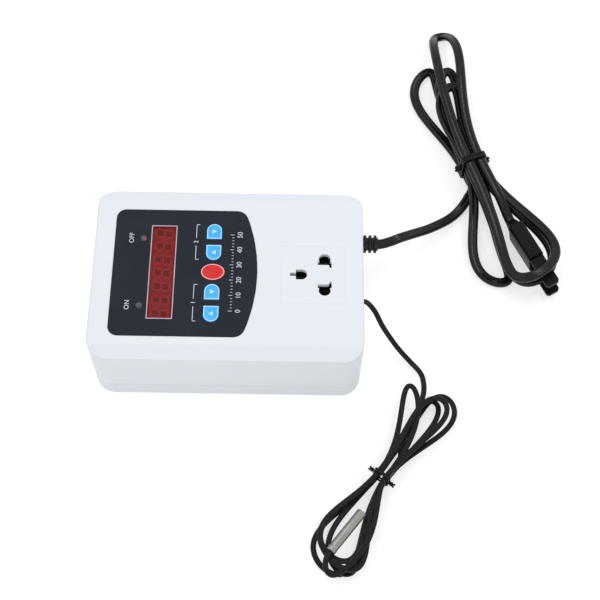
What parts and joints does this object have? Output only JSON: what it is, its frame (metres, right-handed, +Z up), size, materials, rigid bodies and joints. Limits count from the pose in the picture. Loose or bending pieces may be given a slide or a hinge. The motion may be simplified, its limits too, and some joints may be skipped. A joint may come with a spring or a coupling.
{
  "type": "plug in temperature controller",
  "caption": "Plug in temperature controller: white case with a charcoal panel, red display window, sprung keys, a mains outlet, a tied mains cord with a plug, and a steel probe on a tied sensor cord",
  "frame": {"origin": "middle of the bottom face of the case", "axes": "X runs along the case and the cords leave through its +X end, Y points away from the viewer of the picture, Z is up"},
  "size_m": [0.244, 0.3311, 0.0465],
  "materials": {
    "case_plastic": "fine satin moulding, cool white",
    "outlet_plastic": "satin moulding, cool white",
    "label_film": "charcoal polyester film with a fine grain",
    "red_filter": "smoked red filter, glossy",
    "display_plastic": "dark display face with unlit segments",
    "lamp_red": "diffused lamp resin with a red tint",
    "lamp_clear": "diffused lamp resin, unlit grey",
    "key_blue": "light blue with a pale rim",
    "key_red": "red with a white rim",
    "black_plastic": "black nylon",
    "cord_black": "black cord jacket with a soft sheen",
    "plug_black": "moulded black jacket material",
    "tie_black": "black plastic over wire",
    "zinc_steel": "zinc plated",
    "contact_brass": "bright brass strip",
    "blade_brass": "plated brass blade",
    "probe_steel": "drawn stainless tube",
    "board_green": "green solder mask",
    "board_tan": "plain tan laminate",
    "core_steel": "laminated core with yellow tape",
    "relay_blue": "blue case",
    "capacitor_sleeve": "dark sleeve with an aluminium top",
    "fuse_glass": "clear glass tube with metal ends",
    "terminal_green": "green nylon",
    "connector_white": "white nylon",
    "ribbon_grey": "grey ribbon"
  },
  "bodies": {
    "case": {"top_cover": "case_plastic", "base_tray": "case_plastic", "cover_screws": "zinc_steel", "front_label": "label_film", "display_window": "red_filter", "display_left": "display_plastic", "display_middle": "display_plastic", "display_right": "display_plastic", "control_board": "board_green", "board_screws": "zinc_steel", "lamp_start": "lamp_red", "lamp_stop": "lamp_clear", "key_switches": "black_plastic", "outlet_body": "outlet_plastic", "outlet_back": "outlet_plastic", "contact_live": "contact_brass", "contact_neutral": "contact_brass", "contact_earth": "contact_brass", "power_board": "board_tan", "power_board_screws": "zinc_steel", "transformer": "core_steel", "relay": "relay_blue", "capacitors": "capacitor_sleeve", "varistor": "relay_blue", "fuse": "fuse_glass", "terminal_block": "terminal_green", "sensor_connector": "connector_white", "ribbon_cable": "ribbon_grey", "cord_grip": "black_plastic", "sensor_bush": "black_plastic", "mains_lead": "cord_black", "mains_hank": "cord_black", "mains_tie": "tie_black", "plug_body": "plug_black", "plug_blades": "blade_brass", "pin_cover": "tie_black", "sensor_lead": "cord_black", "sensor_hank": "cord_black", "sensor_tie": "tie_black", "probe": "probe_steel"},
    "key_start_up": {"key_start_up": "key_blue"},
    "key_start_down": {"key_start_down": "key_blue"},
    "key_set": {"key_set": "key_red"},
    "key_stop_up": {"key_stop_up": "key_blue"},
    "key_stop_down": {"key_stop_down": "key_blue"}
  },
  "joints": [
    {"name": "key_start_up_press", "type": "slide", "parent": "case", "child": "key_start_up", "axis": [0, 0, -1], "range_m": [0, 0.0004], "stiffness_N_per_m": 500},
    {"name": "key_start_down_press", "type": "slide", "parent": "case", "child": "key_start_down", "axis": [0, 0, -1], "range_m": [0, 0.0004], "stiffness_N_per_m": 500},
    {"name": "key_set_press", "type": "slide", "parent": "case", "child": "key_set", "axis": [0, 0, -1], "range_m": [0, 0.0004], "stiffness_N_per_m": 500},
    {"name": "key_stop_up_press", "type": "slide", "parent": "case", "child": "key_stop_up", "axis": [0, 0, -1], "range_m": [0, 0.0004], "stiffness_N_per_m": 500},
    {"name": "key_stop_down_press", "type": "slide", "parent": "case", "child": "key_stop_down", "axis": [0, 0, -1], "range_m": [0, 0.0004], "stiffness_N_per_m": 500}
  ]
}
